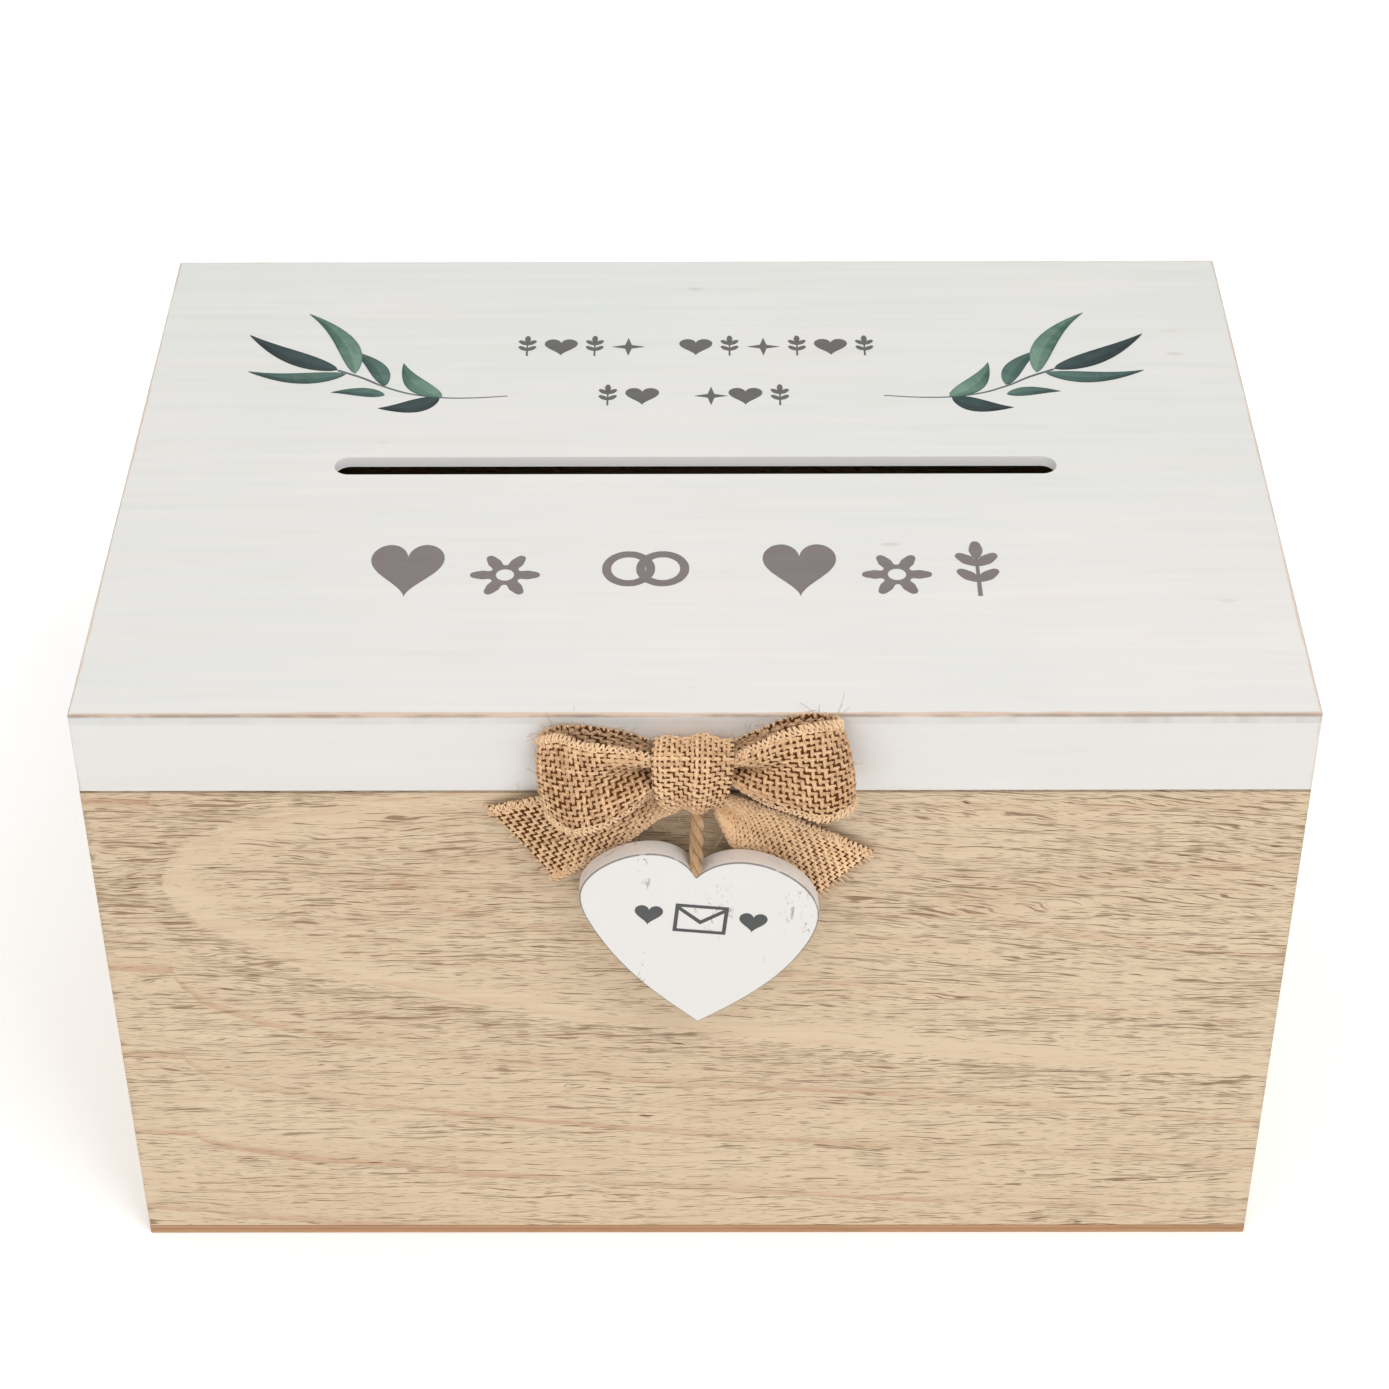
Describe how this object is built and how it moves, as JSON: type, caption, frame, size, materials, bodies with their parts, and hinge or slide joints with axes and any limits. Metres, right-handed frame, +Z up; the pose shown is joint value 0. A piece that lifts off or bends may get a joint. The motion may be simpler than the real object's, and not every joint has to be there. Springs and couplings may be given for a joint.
{
  "type": "wedding card box",
  "caption": "Wooden wedding card box with a hinged white lid, a posting slot in its top, a hessian bow and a hanging heart tag.",
  "frame": {"origin": "centre of the base's underside, on the surface that the box stands on", "axes": "+Z up, the decorated front faces -Y, the hinges are at +Y, +X runs along the card slot"},
  "size_m": [0.3, 0.2292, 0.1845],
  "materials": {
    "natural_wood": "bare open-pored light wood, lightly sealed",
    "plywood": "bare thin plywood",
    "white_paint": "matt off-white paint on wood, rubbed thin along the edges",
    "heart_paint": "matt off-white paint on wood with fine crackle and worn edges",
    "hinge_brass": "satin brass",
    "hinge_pin": "satin brass",
    "screw_metal": "bright brass",
    "hessian": "open-weave hessian ribbon",
    "jute_twine": "twisted jute",
    "glue": "set hot glue",
    "print_ink": "matt grey screen-printed ink",
    "leaf_ink": "matt green watercolour-style print"
  },
  "bodies": {
    "box": {"base_panel": "plywood", "front_wall": "natural_wood", "back_wall": "natural_wood", "left_wall": "natural_wood", "right_wall": "natural_wood", "hinge_left_box_leaf": "hinge_brass", "hinge_right_box_leaf": "hinge_brass", "hinge_left_box_screws": "screw_metal", "hinge_right_box_screws": "screw_metal", "hinge_left_pin": "hinge_pin", "hinge_right_pin": "hinge_pin"},
    "lid": {"lid_top_panel": "white_paint", "lid_front_rail": "white_paint", "lid_back_rail": "white_paint", "lid_left_rail": "white_paint", "lid_right_rail": "white_paint", "hinge_left_lid_leaf": "hinge_brass", "hinge_right_lid_leaf": "hinge_brass", "hinge_left_lid_screws": "screw_metal", "hinge_right_lid_screws": "screw_metal", "bow_glue_pad": "glue", "bow_knot": "hessian", "bow_loop_left": "hessian", "bow_loop_right": "hessian", "bow_tail_left": "hessian", "bow_tail_right": "hessian"},
    "twine": {"heart_twine": "jute_twine"},
    "heart": {"heart_tag": "heart_paint"}
  },
  "joints": [
    {"name": "lid_hinge", "type": "hinge", "parent": "box", "child": "lid", "pos_m": [0, 0.1073, 0.15865], "axis": [-1, 0, 0], "range_deg": [0, 180]},
    {"name": "heart_swing", "type": "hinge", "parent": "lid", "child": "twine", "pos_m": [0.0004, -0.11175, 0.1701], "axis": [0, 1, 0], "range_deg": [-10, 10]},
    {"name": "heart_tip", "type": "hinge", "parent": "twine", "child": "heart", "pos_m": [0.0004, -0.11175, 0.1425], "axis": [-1, 0, 0], "range_deg": [0, 20]}
  ]
}
